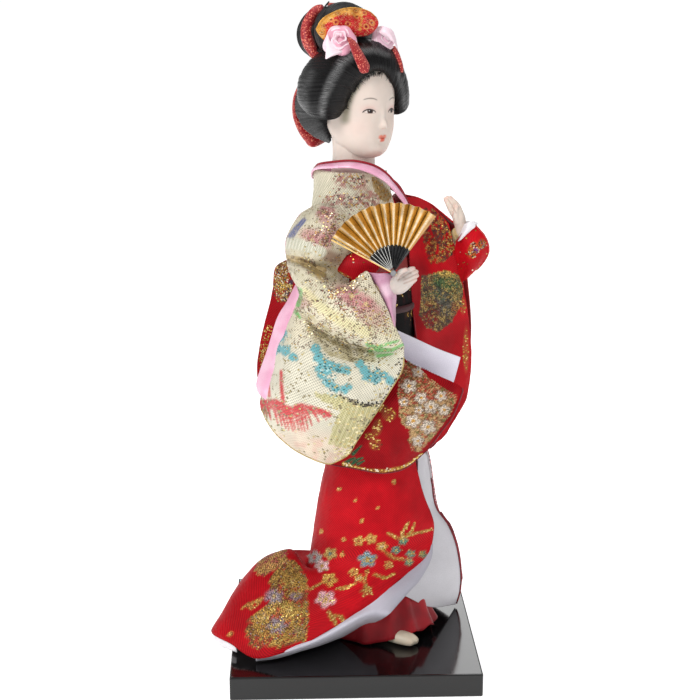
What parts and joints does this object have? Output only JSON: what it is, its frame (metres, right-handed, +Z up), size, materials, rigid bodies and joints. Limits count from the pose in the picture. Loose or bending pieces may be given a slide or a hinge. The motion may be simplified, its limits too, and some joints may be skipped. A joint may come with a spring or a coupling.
{
  "type": "geisha doll",
  "caption": "Standing geisha doll with a folding fan, in a brocade kimono with long sleeves and a train, on a square black board.",
  "frame": {"origin": "centre of the board's underside", "axes": "+Z up through the standing figure; +X to the right and -Y towards the viewer who faces the board's front edge, with the doll's face turned from -Y towards +X"},
  "size_m": [0.1273, 0.112, 0.2994],
  "materials": {
    "lacquer": "black gloss lacquer",
    "steel": "plain wire",
    "straw": "bound straw and paper, all under cloth",
    "skin": "smooth pale painted shell finish, satin",
    "hair": "combed black silk fibre, semi-gloss",
    "red_brocade": "crimson brocade with woven gold, teal and white flowers",
    "cream_brocade": "cream and pale gold brocade with teal clouds and pink flowers",
    "white_silk": "plain cool white silk",
    "pink_satin": "pink satin",
    "gold_brocade": "gold, red and black brocade",
    "gold_paper": "satin gold paper",
    "black_rib": "black with silvery edges",
    "dark_red_silk": "plain dark red silk",
    "rose_satin": "rolled pink satin ribbon"
  },
  "bodies": {
    "root": {"arm_left": "straw", "arm_right": "straw", "base_board": "lacquer", "body_core": "straw", "collar_pink": "pink_satin", "collar_piping": "dark_red_silk", "cuff_left_white": "white_silk", "cuff_right_pink": "pink_satin", "fan_guard_left": "black_rib", "fan_guard_right": "black_rib", "fan_leaf": "gold_paper", "fan_ribs": "black_rib", "fan_rivet": "steel", "foot_left": "skin", "foot_right": "skin", "hair_bow_brocade": "gold_brocade", "hair_pin": "steel", "hand_left": "skin", "hand_right": "skin", "head_and_neck": "skin", "kimono_bodice": "red_brocade", "obi_bow": "red_brocade", "obi_cord": "dark_red_silk", "obi_sash": "gold_brocade", "ribbon_bun": "dark_red_silk", "ribbon_front_far": "dark_red_silk", "ribbon_front_near": "dark_red_silk", "ribbon_nape": "dark_red_silk", "robe_bodice": "cream_brocade", "rose_far": "rose_satin", "rose_near": "rose_satin", "skirt_lining": "white_silk", "skirt_outer": "red_brocade", "sleeve_left": "red_brocade", "sleeve_left_back": "red_brocade", "sleeve_right_back": "cream_brocade", "sleeve_right_inner": "red_brocade", "sleeve_right_outer": "cream_brocade", "sleeve_right_pink_lining": "pink_satin", "sleeve_right_white_lining": "white_silk", "support_rod": "steel", "underskirt": "dark_red_silk", "wig_bun_front": "hair", "wig_bun_rear": "hair", "wig_main": "hair", "wig_nape": "hair"}
  },
  "joints": []
}
